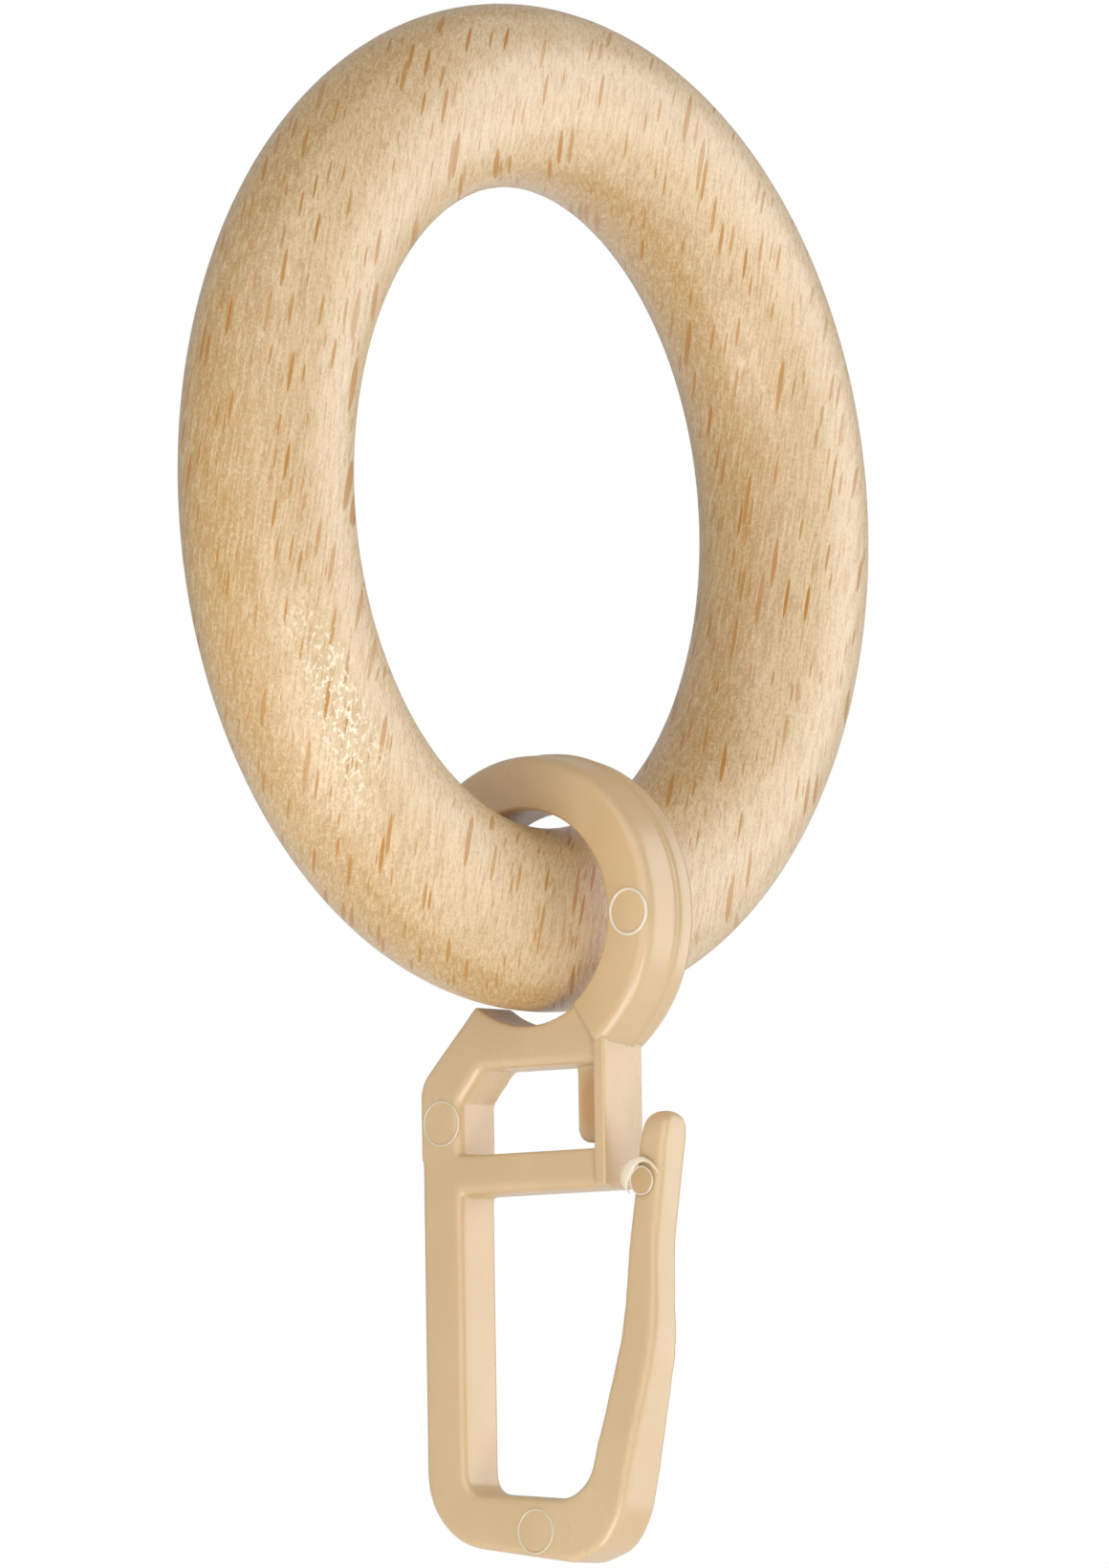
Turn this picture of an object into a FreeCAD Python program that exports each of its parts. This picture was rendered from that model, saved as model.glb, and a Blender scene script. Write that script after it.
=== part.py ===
import FreeCAD, Part

import math
import os

import Sketcher

# Wooden curtain ring with its plastic hook.
# The origin is the centre of the ring, +Y is the ring's axis, along which the pole runs, and +Z is up.
# The hook hangs from the lowest point of the ring, and its flat frame lies in the YZ plane.
# Lengths are in millimetres and angles in degrees.
# Angles round the eye are measured from -Y towards +Z, as they are seen from -X.

SIZES = {
    # turned beech ring
    "ring_outer": 44.0,
    "ring_hole": 28.0,
    "ring_width": 7.2,
    # from the top of the ring to the bottom of the hook
    "overall_height": 68.0,
    # sprung eye of the hook
    "eye_clearance": 0.7,
    "eye_band": 2.25,
    "eye_thickness": 3.2,
    "eye_edge": 0.35,
    "eye_bore_edge": 0.2,
    "eye_root_angle": 311.0,
    "eye_tip_angle": 190.0,
    "eye_tip_round": 0.8,
    "parting_depth": 2.1,
    "parting_bead": 0.1,
    "draft_angle": 4.0,
    # frame under the eye
    "frame_step": 0.3,
    "frame_thickness": 2.5,
    "frame_edge": 0.28,
    "shoulder_angle": 232.0,
    "shoulder_round": 1.5,
    "post_reach": 5.6,
    "post_width": 2.2,
    "rail_height": 1.8,
    "window_height": 3.65,
    "window_chamfer": 1.2,
    "window_edge": 0.5,
    "crossbar_height": 1.75,
    "strap_reach": 4.8,
    "strap_width": 0.6,
    "strap_step": 0.2,
    "strap_edge": 0.15,
    "lug_width": 1.6,
    "lug_length": 3.4,
    "lug_gap": 0.15,
    "lug_setback": 0.9,
    # open loop for the heading tape
    "foot_height": 2.5,
    "foot_slope": 6.0,
    "foot_outer_round": 3.1,
    "foot_inner_round": 0.8,
    "heel_outer_round": 2.6,
    "heel_inner_round": 1.5,
    "arm_reach": 6.92,
    "arm_width": 1.85,
    "arm_lean": 13.6,
    "arm_thickness": 1.6,
    "arm_edge": 0.4,
    "arm_tip_above_crossbar": 3.4,
    "arm_tip_width": 1.15,
    "arm_tip_thickness": 1.75,
    "arm_tip_lean": 8.6,
    # where the arm bends, as shares of the way from the foot up to the crossbar
    "arm_knee_share": 0.584,
    "arm_knee_spread": 0.112,
    "arm_waist_share": 0.74,
    "arm_neck_share": 0.84,
}


class Size:
    """A length or an angle: its value now, and the expression that gives it from the sheet."""

    def __init__(self, value, text):
        self.value = value
        self.text = text

    def __add__(self, other):
        other = as_size(other)
        return Size(self.value + other.value, f"({self.text} + {other.text})")

    def __sub__(self, other):
        other = as_size(other)
        return Size(self.value - other.value, f"({self.text} - {other.text})")

    def __mul__(self, other):
        other = as_size(other)
        return Size(self.value * other.value, f"({self.text} * {other.text})")

    def __truediv__(self, other):
        other = as_size(other)
        return Size(self.value / other.value, f"({self.text} / {other.text})")

    def __neg__(self):
        return Size(-self.value, f"(-{self.text})")


def as_size(number):
    return number if isinstance(number, Size) else Size(float(number), repr(float(number)))


def sine(angle):
    return Size(math.sin(math.radians(angle.value)), f"sin({angle.text} * 1 deg)")


def cosine(angle):
    return Size(math.cos(math.radians(angle.value)), f"cos({angle.text} * 1 deg)")


def tangent(angle):
    return sine(angle) / cosine(angle)


def larger(a, b):
    return Size(max(a.value, b.value), f"max({a.text}; {b.text})")


def smaller(a, b):
    return Size(min(a.value, b.value), f"min({a.text}; {b.text})")


doc = FreeCAD.newDocument("curtain_ring")
sheet = doc.addObject("Spreadsheet::Sheet", "Sizes")
for row, (alias, number) in enumerate(SIZES.items(), start=1):
    sheet.set(f"A{row}", alias)
    sheet.set(f"B{row}", str(number))
    sheet.setAlias(f"B{row}", alias)
doc.recompute()


def size(alias):
    return Size(float(sheet.get(alias)), f"Sizes.{alias}")


def bind(thing, prop, value):
    """Gives a property its value and ties it to the sheet."""
    thing.setExpression(prop, as_size(value).text)


def origin_plane(body, role):
    return next(item for item in body.Origin.OriginFeatures if item.Role == role)


def new_body(label):
    body = doc.addObject("PartDesign::Body", label)
    body.Label = label
    body.Placement = FreeCAD.Placement()
    return body


def new_sketch(body, name, role, offset, turn=None):
    """A sketch on one of the body's own planes; turn is an angle about the sketch's own x axis."""
    sketch = body.newObject("Sketcher::SketchObject", name)
    sketch.AttachmentSupport = [(origin_plane(body, role), "")]
    sketch.MapMode = "FlatFace"
    place = FreeCAD.Vector(*[as_size(o).value for o in offset])
    angle = turn.value if turn else 0.0
    sketch.AttachmentOffset = FreeCAD.Placement(place, FreeCAD.Rotation(FreeCAD.Vector(1, 0, 0), angle))
    for letter, distance in zip("xyz", offset):
        bind(sketch, f"AttachmentOffset.Base.{letter}", distance)
    if turn:
        bind(sketch, "AttachmentOffset.Rotation.Angle", turn)
    return sketch


def fix_point(sketch, geometry, which, point):
    """Ties one point of a sketch to a place given by two sizes."""
    for kind, distance in zip(("DistanceX", "DistanceY"), point):
        index = sketch.addConstraint(Sketcher.Constraint(kind, geometry, which, distance.value))
        bind(sketch, f"Constraints[{index}]", distance)


def rounded_outline(sketch, corners):
    """Draws a closed outline through corners, each (x, y) or (x, y, radius), its rounded ones as arcs."""
    start, end = 1, 2
    places = [FreeCAD.Vector(c[0].value, c[1].value, 0) for c in corners]
    radii = [c[2] if len(c) > 2 else None for c in corners]
    count = len(corners)
    ways = [(places[(i + 1) % count] - places[i]).normalize() for i in range(count)]
    cut = []
    for i in range(count):
        turn = ways[i - 1].getAngle(ways[i])
        cut.append(radii[i].value * math.tan(turn / 2) if radii[i] else 0.0)
    lines = []
    for i in range(count):
        j = (i + 1) % count
        segment = Part.LineSegment(places[i] + ways[i] * cut[i], places[j] - ways[i] * cut[j])
        lines.append(sketch.addGeometry(segment, False))
    for i in range(count):
        before, after = lines[i - 1], lines[i]
        if radii[i] is None:
            sketch.addConstraint(Sketcher.Constraint("Coincident", before, end, after, start))
            fix_point(sketch, after, start, corners[i])
            continue
        first = places[i] - ways[i - 1] * cut[i]
        last = places[i] + ways[i] * cut[i]
        inward = (ways[i] - ways[i - 1]).normalize()
        half = ways[i - 1].getAngle(ways[i]) / 2
        centre = places[i] + inward * (radii[i].value / math.cos(half))
        middle = centre - inward * radii[i].value
        arc = sketch.addGeometry(Part.Arc(first, middle, last), False)
        turns_left = ways[i - 1].cross(ways[i]).z > 0
        near, far = (start, end) if turns_left else (end, start)
        sketch.addConstraint(Sketcher.Constraint("Tangent", before, end, arc, near))
        sketch.addConstraint(Sketcher.Constraint("Tangent", arc, far, after, start))
        index = sketch.addConstraint(Sketcher.Constraint("Radius", arc, radii[i].value))
        bind(sketch, f"Constraints[{index}]", radii[i])
        corner = sketch.addGeometry(Part.Point(places[i]), True)
        fix_point(sketch, corner, start, corners[i])
        sketch.addConstraint(Sketcher.Constraint("PointOnObject", corner, start, before))
        sketch.addConstraint(Sketcher.Constraint("PointOnObject", corner, start, after))


def circle_outline(sketch, centre, radius):
    place = FreeCAD.Vector(centre[0].value, centre[1].value, 0)
    circle = sketch.addGeometry(Part.Circle(place, FreeCAD.Vector(0, 0, 1), radius.value), False)
    fix_point(sketch, circle, 3, centre)
    index = sketch.addConstraint(Sketcher.Constraint("Radius", circle, radius.value))
    bind(sketch, f"Constraints[{index}]", radius)


def extrude(body, kind, name, sketch, length, reverse=False):
    """A pad or a pocket of one sketch, checked to have changed the volume the right way."""
    before = body.Shape.Volume if body.Tip else 0.0
    feature = body.newObject(f"PartDesign::{kind}", name)
    feature.Profile = sketch
    feature.Reversed = reverse
    bind(feature, "Length", length)
    sketch.Visibility = False
    doc.recompute()
    gained = body.Shape.Volume - before
    if (gained > 0) != (kind == "Pad") or abs(gained) < 1e-6:
        raise ValueError(f"{name} changed the volume by {gained:.4f}")
    return feature


zero = as_size(0)
ring_radius = (size("ring_outer") + size("ring_hole")) / 4
section_half_height = (size("ring_outer") - size("ring_hole")) / 4

eye_hole = larger(section_half_height, size("ring_width") / 2) + size("eye_clearance")
eye_outer = eye_hole + size("eye_band")
eye_front = -size("eye_thickness") / 2
at_eye = -ring_radius
frame_front = eye_front + size("frame_step")
hook_drop = size("overall_height") - size("ring_outer") / 2 - ring_radius
rail_under = eye_hole + size("rail_height")
crossbar_top = rail_under + size("window_height")
crossbar_under = crossbar_top + size("crossbar_height")
loop_height = hook_drop - crossbar_under


def polar(radius, angle):
    """A point round the eye, as (Y, Z) from the eye's centre."""
    return (-(as_size(radius) * cosine(angle)), as_size(radius) * sine(angle))


def build_ring():
    """A full turn of an oval section round the Y axis."""
    body = new_body("wooden_ring")
    sketch = new_sketch(body, "ring_section", "XY_Plane", (zero, zero, zero))
    halves = [
        (section_half_height, FreeCAD.Vector(section_half_height.value, 0, 0), "Horizontal"),
        (size("ring_width") / 2, FreeCAD.Vector(0, size("ring_width").value / 2, 0), "Vertical"),
    ]
    halves.sort(key=lambda half: -half[0].value)
    centre = FreeCAD.Vector(ring_radius.value, 0, 0)
    oval = sketch.addGeometry(Part.Ellipse(centre + halves[0][1], centre + halves[1][1], centre), False)
    sketch.exposeInternalGeometry(oval)
    fix_point(sketch, oval, 3, (ring_radius, zero))
    long_axis, short_axis = oval + 1, oval + 2
    sketch.addConstraint(Sketcher.Constraint(halves[0][2], long_axis))
    for axis, (half, _, _) in zip((long_axis, short_axis), halves):
        index = sketch.addConstraint(Sketcher.Constraint("Distance", axis, 2 * half.value))
        bind(sketch, f"Constraints[{index}]", half * 2)
    turn = body.newObject("PartDesign::Revolution", "ring_turned")
    turn.Profile = sketch
    turn.ReferenceAxis = (sketch, ["V_Axis"])
    turn.Angle = 360
    sketch.Visibility = False
    doc.recompute()
    return body


def heel_centre():
    """Centre of the round heel, where foot and arm meet; its lowest point is the bottom of the hook."""
    knee_rise = loop_height * size("arm_knee_share") - size("heel_outer_round")
    aside = (size("heel_outer_round") + knee_rise * sine(size("arm_lean"))) / cosine(size("arm_lean"))
    return (aside - size("arm_reach"), size("heel_outer_round") - hook_drop)


def heel_corner(foot_inset, arm_inset):
    """Where a line along the foot meets one along the arm, each inset from the outside."""
    lean, slope = size("arm_lean"), size("foot_slope")
    mix = sine(lean - slope)
    foot_way = size("heel_outer_round") - foot_inset
    arm_way = size("heel_outer_round") - arm_inset
    whole = as_size(1) - mix * mix
    to_foot = (foot_way - mix * arm_way) / whole
    to_arm = (arm_way - mix * foot_way) / whole
    centre = heel_centre()
    return (
        centre[0] + to_foot * sine(slope) - to_arm * cosine(lean),
        centre[1] - to_foot * cosine(slope) - to_arm * sine(lean),
    )


def arm_root(inset):
    """A point of the arm's root, level with the end of its straight stub, inset from the outside."""
    lean = size("arm_lean")
    corner = heel_corner(size("foot_height"), size("arm_width"))
    along = size("heel_inner_round") * 1.05
    across = size("arm_width") - inset
    return (
        corner[0] - along * sine(lean) - across * cosine(lean),
        corner[1] + along * cosine(lean) - across * sine(lean),
    )


def foot_z(y, inset):
    """Height of the foot's lower edge, or of a line inset from it, at one Y."""
    slope = size("foot_slope")
    centre = heel_centre()
    reach = size("heel_outer_round") - inset - sine(slope) * (y - centre[0])
    return centre[1] - reach / cosine(slope)


def frame_outline():
    """Corners of the hook's frame, down to the arm's root, as (Y, Z, radius) from the eye's centre."""
    inside_hole = eye_hole - size("eye_band") / 4
    inside_band = size("eye_root_angle") + 4
    post_outer = size("post_reach")
    post_inner = post_outer - size("post_width")
    shoulder_z = post_outer / cosine(size("shoulder_angle")) * sine(size("shoulder_angle"))
    return [
        polar(inside_hole, size("shoulder_angle")),
        (post_outer, -shoulder_z, size("shoulder_round")),
        (post_outer, foot_z(post_outer, zero), size("foot_outer_round")),
        heel_corner(zero, zero) + (size("heel_outer_round"),),
        arm_root(zero),
        arm_root(size("arm_width")),
        heel_corner(size("foot_height"), size("arm_width")) + (size("heel_inner_round"),),
        (post_inner, foot_z(post_inner, size("foot_height")), size("foot_inner_round")),
        (post_inner, -crossbar_under),
        (-size("strap_reach"), -crossbar_under, size("frame_edge")),
        (-size("strap_reach"), sine(inside_band) * (eye_outer - size("eye_band") / 8)),
        polar(inside_hole, inside_band),
    ]


def window_outline():
    """Corners of the small window between the rail and the crossbar."""
    post_inner = size("post_reach") - size("post_width")
    strap_inner = size("strap_width") - size("strap_reach")
    return [
        (strap_inner, -rail_under),
        (strap_inner, -crossbar_top),
        (post_inner, -crossbar_top),
        (post_inner, -(rail_under + size("window_chamfer"))),
        (post_inner - size("window_chamfer"), -rail_under),
    ]


def box_outline(low, high, radius=None):
    corners = [(low[0], low[1]), (high[0], low[1]), (high[0], high[1]), (low[0], high[1])]
    return [corner + ((radius,) if radius else ()) for corner in corners]


def arm_point(outer_y, outer_z, lean, width):
    """Middle of the arm's width, half of it inside a point of its outer face, square to its lean."""
    half = width / 2
    return (outer_y + half * cosine(lean), outer_z + half * sine(lean))


def arm_stations():
    """Sections of the arm from its root to its tip, as (name, Y, Z, turn, thickness, width, edge)."""
    lean, tip_lean = size("arm_lean"), size("arm_tip_lean")
    thin, wide = size("arm_thickness"), size("arm_width")
    tip_thick, tip_wide = size("arm_tip_thickness"), size("arm_tip_width")
    neck_wide = (wide + tip_wide) / 2
    edge = size("arm_edge")
    upright_y = -size("arm_reach")
    run = loop_height * size("arm_knee_spread")
    knee_z = loop_height * size("arm_knee_share") - hook_drop
    waist_z = loop_height * size("arm_waist_share") - hook_drop
    neck_z = loop_height * size("arm_neck_share") - hook_drop
    tip_z = size("arm_tip_above_crossbar") - crossbar_under
    end_z = tip_z - tip_wide * 0.45
    crown_z = tip_z - tip_wide * 0.12
    splay = tangent(tip_lean)
    root = arm_root(wide / 2)
    bend = arm_point(upright_y + run * sine(lean), knee_z - run * cosine(lean), lean, wide)
    knee = arm_point(upright_y + run * sine(lean / 2) / 2, knee_z, lean / 2, wide)
    upright = upright_y + wide / 2
    neck = arm_point(upright_y, neck_z, tip_lean / 2, neck_wide)
    end = arm_point(upright_y - splay * (end_z - neck_z), end_z, tip_lean, tip_wide)
    rounding = [
        ("crown", end[0] - splay * (crown_z - end_z), end[1] + crown_z - end_z, 0.84, 0.78),
        ("tip", end[0] - splay * (tip_z - end_z), end[1] + tip_z - end_z, 0.6, 0.42),
    ]
    return [
        ("root", root[0], root[1], lean, size("frame_thickness"), wide, size("frame_edge")),
        ("bend", bend[0], bend[1], lean, (size("frame_thickness") + thin * 2) / 3, wide, edge),
        ("knee", knee[0], knee[1], lean / 2, thin, wide, edge),
        ("upright", upright, knee_z + run, zero, thin, wide, edge),
        ("waist", upright, waist_z, zero, thin, wide, edge),
        ("neck", neck[0], neck[1], tip_lean / 2, (thin + tip_thick) / 2, neck_wide, edge),
        ("end", end[0], end[1], tip_lean, tip_thick, tip_wide, edge),
    ] + [
        (name, y, z, tip_lean, tip_thick * thick_share, tip_wide * wide_share, edge)
        for name, y, z, thick_share, wide_share in rounding
    ]


def rim_edges(shape, keep):
    """Names of the edges between a face that looks along X and a wall, if keep accepts their middles."""
    names = []
    for number, edge in enumerate(shape.Edges, start=1):
        faces = shape.ancestorsOfType(edge, Part.Face)
        if len(faces) != 2:
            continue
        middle = edge.valueAt((edge.FirstParameter + edge.LastParameter) / 2)
        along = sorted(abs(face.normalAt(*face.Surface.parameter(middle)).x) for face in faces)
        if along[0] < 0.2 and along[1] > 0.9 and keep(middle):
            names.append(f"Edge{number}")
    return names


def soften(body, name, radius, keep):
    """Rounds the rim edges of the body as it stands."""
    base = body.Tip
    fillet = body.newObject("PartDesign::Fillet", name)
    fillet.Base = (base, rim_edges(base.Shape, keep))
    bind(fillet, "Radius", radius)
    doc.recompute()
    return fillet


def eye_section():
    """Corners of the eye's section as (X, Y), with its draft and the bead along the parting line."""
    back = eye_front + size("eye_thickness")
    parting = eye_front + size("parting_depth")
    bead = size("parting_bead")
    bore_edge = size("eye_bore_edge")
    rise = tangent(size("draft_angle"))
    at_front = eye_outer
    at_parting = eye_outer + rise * size("parting_depth")
    at_back = at_parting - rise * (size("eye_thickness") - size("parting_depth"))
    return [
        (eye_front + bore_edge, -eye_hole),
        (eye_front, -(eye_hole + bore_edge)),
        (eye_front, -at_front, size("eye_edge")),
        (parting - bead, -(at_parting - rise * bead)),
        (parting, -(at_parting + bead)),
        (parting + bead, -(at_parting - rise * bead)),
        (back, -at_back, size("eye_edge")),
        (back, -(eye_hole + bore_edge)),
        (back - bore_edge, -eye_hole),
    ]


def eye_tip_outline():
    """Corners of the cut round the free end of the eye, as (Y, Z, radius) from the eye's centre."""
    angle, band = size("eye_tip_angle"), size("eye_band")
    rounding = smaller(size("eye_tip_round"), band * 0.4)

    def at(radius, beyond):
        """A point on the tip's radius, moved beyond it square to that radius."""
        return (
            beyond * sine(angle) - radius * cosine(angle),
            beyond * cosine(angle) + radius * sine(angle),
        )

    trim = -(band * 0.02)
    bead_top = eye_outer + tangent(size("draft_angle")) * size("parting_depth") + size("parting_bead") * 1.2
    return [
        at(eye_hole - band, band),
        at(eye_hole - band, -(band / 2)),
        at(eye_hole - band * 0.25, -(band / 2)),
        at(eye_hole + band * 0.045, trim) + (rounding,),
        at(bead_top, trim) + (rounding,),
        at(bead_top, -band),
        at(bead_top + band, -band),
        at(bead_top + band, band),
    ]


def check_document():
    for item in doc.Objects:
        if "Invalid" in item.State or "Error" in item.State:
            raise ValueError(f"{item.Name} is {item.State}")


def add_frame(body):
    """The flat frame with its window, its edges rounded, and hollowed at the top to clear the ring."""
    frame = new_sketch(body, "frame_profile", "YZ_Plane", (zero, at_eye, frame_front))
    rounded_outline(frame, frame_outline())
    extrude(body, "Pad", "frame", frame, size("frame_thickness"))

    window = new_sketch(body, "window_profile", "YZ_Plane", (zero, at_eye, frame_front))
    rounded_outline(window, window_outline())
    extrude(body, "Pocket", "window", window, size("frame_thickness"), reverse=True)

    # at the front of the window the rail, the chamfer and the post have a wider rounding
    front = frame_front.value + 0.01
    nearest = (size("strap_width") - size("strap_reach")).value + 0.01
    farthest = (size("post_reach") - size("post_width")).value + 0.01
    lowest = (at_eye - crossbar_top).value + 0.01
    highest = (at_eye - rail_under).value + 0.01
    soften(
        body, "window_rounding", size("window_edge"),
        lambda middle: middle.x < front and nearest < middle.y < farthest and lowest < middle.z < highest,
    )

    # the arm's root stays sharp, since the arm goes on from there
    root_y, root_z = arm_root(size("arm_width") / 2)
    root = FreeCAD.Vector(0, root_y.value, (root_z + at_eye).value)
    half = size("arm_width").value / 4
    soften(
        body, "frame_rounding", size("frame_edge"),
        lambda middle: math.hypot(middle.y - root.y, middle.z - root.z) > half,
    )

    saddle = new_sketch(body, "saddle_profile", "YZ_Plane", (zero, at_eye, frame_front))
    circle_outline(saddle, (zero, zero), eye_hole)
    extrude(body, "Pocket", "saddle", saddle, size("frame_thickness"), reverse=True)


def add_lug(body):
    """The lug that hangs in the window from the rail, set back from the frame's front."""
    near = size("strap_width") - size("strap_reach") + size("lug_gap")
    far = near + size("lug_width")
    top = -(rail_under - size("frame_edge"))
    bottom = -(rail_under + size("lug_length"))
    lug = new_sketch(body, "lug_profile", "YZ_Plane", (zero, at_eye, frame_front + size("lug_setback")))
    rounded_outline(lug, [(near, top), (near, bottom), (far, bottom, size("lug_width") / 2), (far, top)])
    extrude(body, "Pad", "lug", lug, size("frame_thickness") - size("lug_setback") - size("frame_edge"))


def add_strap(body):
    """The thin leaf from the root of the eye to the end of the crossbar."""
    front = frame_front - size("strap_step")
    top = sine(size("eye_root_angle")) * (eye_hole + size("eye_band") / 2)
    strap = new_sketch(body, "strap_profile", "YZ_Plane", (zero, at_eye, front))
    rounded_outline(strap, box_outline(
        (-size("strap_reach"), -crossbar_under + size("frame_edge")),
        (size("strap_width") - size("strap_reach"), top),
    ))
    extrude(body, "Pad", "strap", strap, size("frame_thickness") + size("strap_step"))
    soften(body, "strap_rounding", size("strap_edge"), lambda middle: middle.x < front.value + 0.01)


def add_arm(body):
    """The springy arm, a loft that thins and bends from the heel up to its tip."""
    sections = []
    for name, y, z, lean, thickness, width, edge in arm_stations():
        place = (frame_front + size("frame_thickness") / 2, y, at_eye + z)
        section = new_sketch(body, f"arm_{name}", "XY_Plane", place, lean)
        corner = (thickness / 2, width / 2)
        rounding = smaller(edge, width * 0.45)
        rounded_outline(section, box_outline((-corner[0], -corner[1]), corner, rounding))
        section.Visibility = False
        sections.append(section)
    arm = body.newObject("PartDesign::AdditiveLoft", "arm")
    arm.Profile = sections[0]
    arm.Sections = sections[1:]
    arm.Ruled = True
    doc.recompute()


def add_eye(body):
    """The open eye, turned about the X axis from its root round to its free end."""
    eye = new_sketch(body, "eye_section", "XY_Plane", (zero, zero, at_eye))
    rounded_outline(eye, eye_section())
    turn = body.newObject("PartDesign::Revolution", "eye")
    turn.Profile = eye
    turn.ReferenceAxis = (eye, ["H_Axis"])
    turn.Type = "TwoAngles"
    turn.Reversed = True
    bind(turn, "Angle", size("eye_tip_angle"))
    bind(turn, "Angle2", as_size(360) - size("eye_root_angle"))
    eye.Visibility = False
    doc.recompute()

    # the free end is rounded, to lead in over the ring
    tip = new_sketch(body, "eye_tip_profile", "YZ_Plane", (zero, at_eye, eye_front))
    rounded_outline(tip, eye_tip_outline())
    extrude(body, "Pocket", "eye_tip", tip, size("eye_thickness"), reverse=True)


def build_hook():
    """One moulding: the frame with its lug and strap, the sprung arm and the eye."""
    body = new_body("hook")
    add_frame(body)
    add_lug(body)
    add_strap(body)
    add_arm(body)
    add_eye(body)
    return body


build_ring()
build_hook()
doc.recompute()
check_document()

os.makedirs("parts", exist_ok=True)
for body in doc.findObjects("PartDesign::Body"):
    if body.Shape.isNull() or not body.Shape.isValid():
        raise ValueError(f"{body.Label} has no valid shape")
    body.Shape.exportStep(f"parts/{body.Label}.step")
    box = body.Shape.BoundBox
    print(body.Label, "volume", round(body.Shape.Volume, 2), "solids", len(body.Shape.Solids), box)
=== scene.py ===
import math

import bmesh
import bpy
from mathutils import Matrix, Vector


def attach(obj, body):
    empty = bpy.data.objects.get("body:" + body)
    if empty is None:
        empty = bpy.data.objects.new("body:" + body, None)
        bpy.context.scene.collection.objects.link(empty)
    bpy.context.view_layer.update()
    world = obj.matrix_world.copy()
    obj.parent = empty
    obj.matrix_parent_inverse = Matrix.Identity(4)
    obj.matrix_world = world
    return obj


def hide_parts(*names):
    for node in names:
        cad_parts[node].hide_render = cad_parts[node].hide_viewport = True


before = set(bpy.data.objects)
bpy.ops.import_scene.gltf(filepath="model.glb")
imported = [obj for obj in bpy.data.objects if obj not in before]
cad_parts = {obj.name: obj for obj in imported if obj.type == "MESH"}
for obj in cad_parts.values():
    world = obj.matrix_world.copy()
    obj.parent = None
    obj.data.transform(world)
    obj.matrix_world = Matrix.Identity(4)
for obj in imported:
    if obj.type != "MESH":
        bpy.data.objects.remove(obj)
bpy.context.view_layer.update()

# Lengths of the ring and hook are in millimetres and become metres through MM; the studio is in metres.
MM = 0.001

# Sizes
RING_RADIUS = 18.0
RING_HALF_HEIGHT = 4.0
RING_HALF_WIDTH = 3.6

# The eye's front, back and parting lie along X; its root and tip are in degrees round its centre.
EYE_CENTRE = -RING_RADIUS
EYE_ACROSS = -0.45
EYE_HOLE = 4.7
EYE_OUTER = 7.02
EYE_FRONT = -1.6
EYE_BACK = 1.6
EYE_ROOT = 305.0
EYE_TIP = 190.0
EYE_LEAD_IN = 0.8
PARTING = 0.5
DRAFT_DEGREES = 4

# The post stands on +Y, the strap and arm on -Y; heights count from the centre of the eye.
FRAME_FRONT = -1.3
FRAME_BACK = 1.2
SADDLE_RADIUS = EYE_HOLE - 0.02
POST_OUTER = 5.6
POST_INNER = 3.4
RAIL_UNDER = -6.5
RAIL_END = -4.5
RAIL_LEG_END = -10.3
CROSSBAR_TOP = -10.15
CROSSBAR_UNDER = -11.9
STRAP_OUTER = -4.8
STRAP_INNER = -4.2

# The arm thins from its root to its waist, and is rounded off above ARM_ROUNDING.
ARM_SIDE = -4.0
ARM_ROOT = -24.0
ARM_WAIST = -16.5
ARM_ROUNDING = -9.7
WAIST_SHARE = 0.64
ARM_TIP_FRONT = -0.9
ARM_PIN = (-6.42, -11.66)
PIN_STANDS = 0.14

# Points nearer than NEAR count as level; a rounded corner turns CORNER_STEP degrees at a facet.
NEAR = 0.01
CORNER_STEP = 9


def to_scene(x, y, v):
    """A point of the hook in metres; v is measured up from the centre of the eye."""
    return Vector((x * MM, y * MM, (EYE_CENTRE + v) * MM))


def around_eye(radius, degrees):
    """(y, v) of a point round the eye; 0 degrees is the -Y side and 90 degrees the top."""
    angle = math.radians(degrees)
    return (EYE_ACROSS - radius * math.cos(angle), radius * math.sin(angle))


def make_piece(bm, name):
    """Turns a bmesh into a smooth-shaded object."""
    bmesh.ops.recalc_face_normals(bm, faces=bm.faces[:])
    for face in bm.faces:
        face.smooth = True
    mesh = bpy.data.meshes.new(name)
    bm.to_mesh(mesh)
    bm.free()
    piece = bpy.data.objects.new(name, mesh)
    bpy.context.scene.collection.objects.link(piece)
    return piece


def rounded_sheet(bm, corners, x):
    """One flat face through corners (y, v, radius), standing at x, its corners rounded."""
    verts = [bm.verts.new(to_scene(x, y, v)) for y, v, radius in corners]
    bm.faces.new(verts)
    for i, (y, v, radius) in enumerate(corners):
        if not radius:
            continue
        here = verts[i].co.copy()
        corner = Vector((y, v))
        back = (Vector(corners[i - 1][:2]) - corner).normalized()
        on = (Vector(corners[(i + 1) % len(corners)][:2]) - corner).normalized()
        turn = math.pi - back.angle(on)
        nearest = min(bm.verts, key=lambda vert: (vert.co - here).length)
        steps = max(2, round(math.degrees(turn) / CORNER_STEP))
        bmesh.ops.bevel(
            bm, geom=[nearest], offset=radius * math.tan(turn / 2) * MM, offset_type="OFFSET",
            segments=steps, profile=0.5, affect="VERTICES", material=-1, clamp_overlap=False,
        )


def thicken(bm, depth):
    """Extrudes a flat sheet along +X by a depth."""
    grown = bmesh.ops.extrude_face_region(bm, geom=bm.faces[:], use_keep_orig=True)
    moved = [item for item in grown["geom"] if isinstance(item, bmesh.types.BMVert)]
    bmesh.ops.translate(bm, verts=moved, vec=(depth * MM, 0, 0))


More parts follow.
